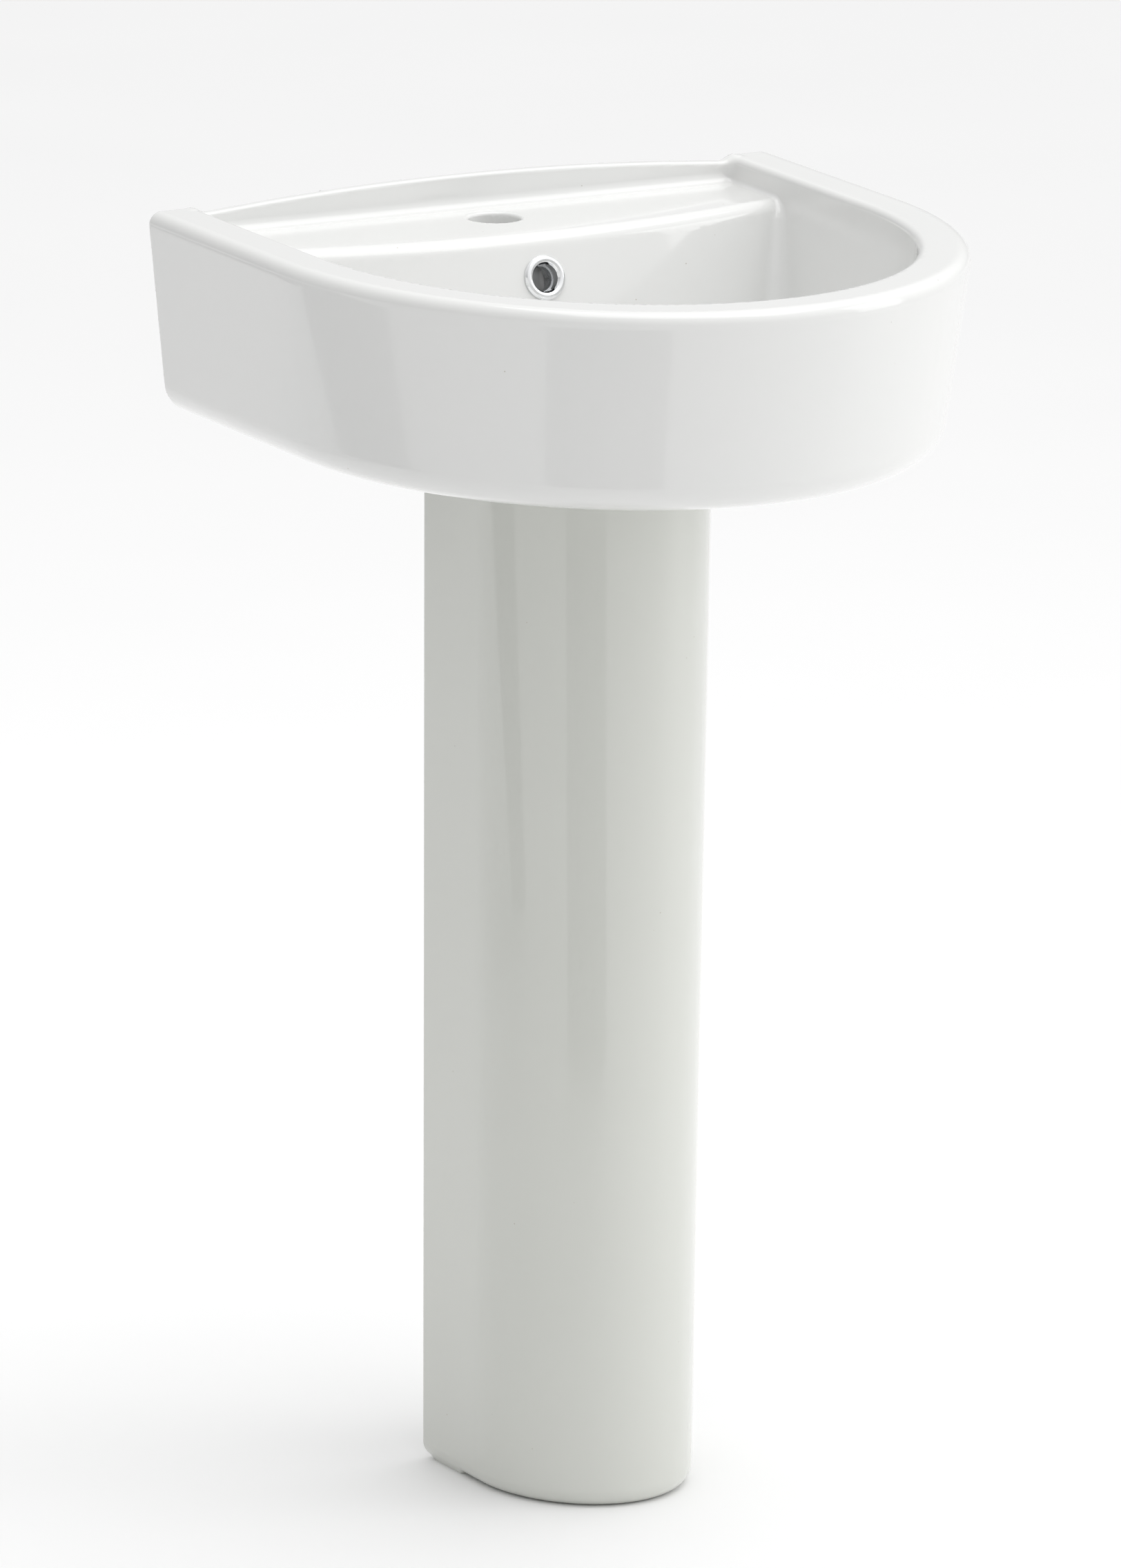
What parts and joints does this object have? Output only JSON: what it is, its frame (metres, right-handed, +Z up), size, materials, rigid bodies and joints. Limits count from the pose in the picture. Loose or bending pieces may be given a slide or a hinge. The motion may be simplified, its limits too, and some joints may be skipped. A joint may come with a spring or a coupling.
{
  "type": "pedestal sink",
  "caption": "D-shaped ceramic basin with recessed tap deck, chrome overflow trim, push-to-close waste and bottle trap, standing on an open-backed ceramic pedestal.",
  "frame": {"origin": "centre of the bounding box on the floor, under the middle of the basin", "axes": "+Z up; the basin's front faces -Y and its back stands against a wall at +Y; +X is to the right for someone facing the basin"},
  "size_m": [0.472, 0.455, 0.8555],
  "materials": {
    "vitreous_china": "clear glossy white glaze over vitreous china",
    "chrome": "polished chrome plate",
    "spring_steel": "drawn and stamped stainless steel",
    "brass": "bright turned brass",
    "black_rubber": "matt black rubber",
    "white_plastic": "satin white polypropylene"
  },
  "bodies": {
    "sink": {"basin": "vitreous_china", "pedestal": "vitreous_china", "overflow_ring": "chrome", "overflow_clip": "spring_steel", "waste_flange": "chrome", "waste_upper_washer": "black_rubber", "waste_lower_washer": "black_rubber", "waste_slip_washer": "white_plastic", "waste_backnut": "brass", "click_cartridge": "white_plastic", "cartridge_spring": "spring_steel", "trap_inlet_washer": "black_rubber", "trap_dip_tube": "white_plastic", "trap_inlet_nut": "white_plastic", "trap_body": "white_plastic", "trap_cup": "white_plastic", "trap_cup_seal": "black_rubber", "trap_outlet_washer": "black_rubber", "trap_outlet_nut": "white_plastic", "waste_pipe": "white_plastic"},
    "plug": {"waste_plug": "chrome", "plug_seal": "black_rubber", "plug_stem": "brass"}
  },
  "joints": [
    {"name": "plug_lift", "type": "slide", "parent": "sink", "child": "plug", "axis": [0, 0, 1], "range_m": [0, 0.008], "deforming": ["cartridge_spring"]}
  ]
}
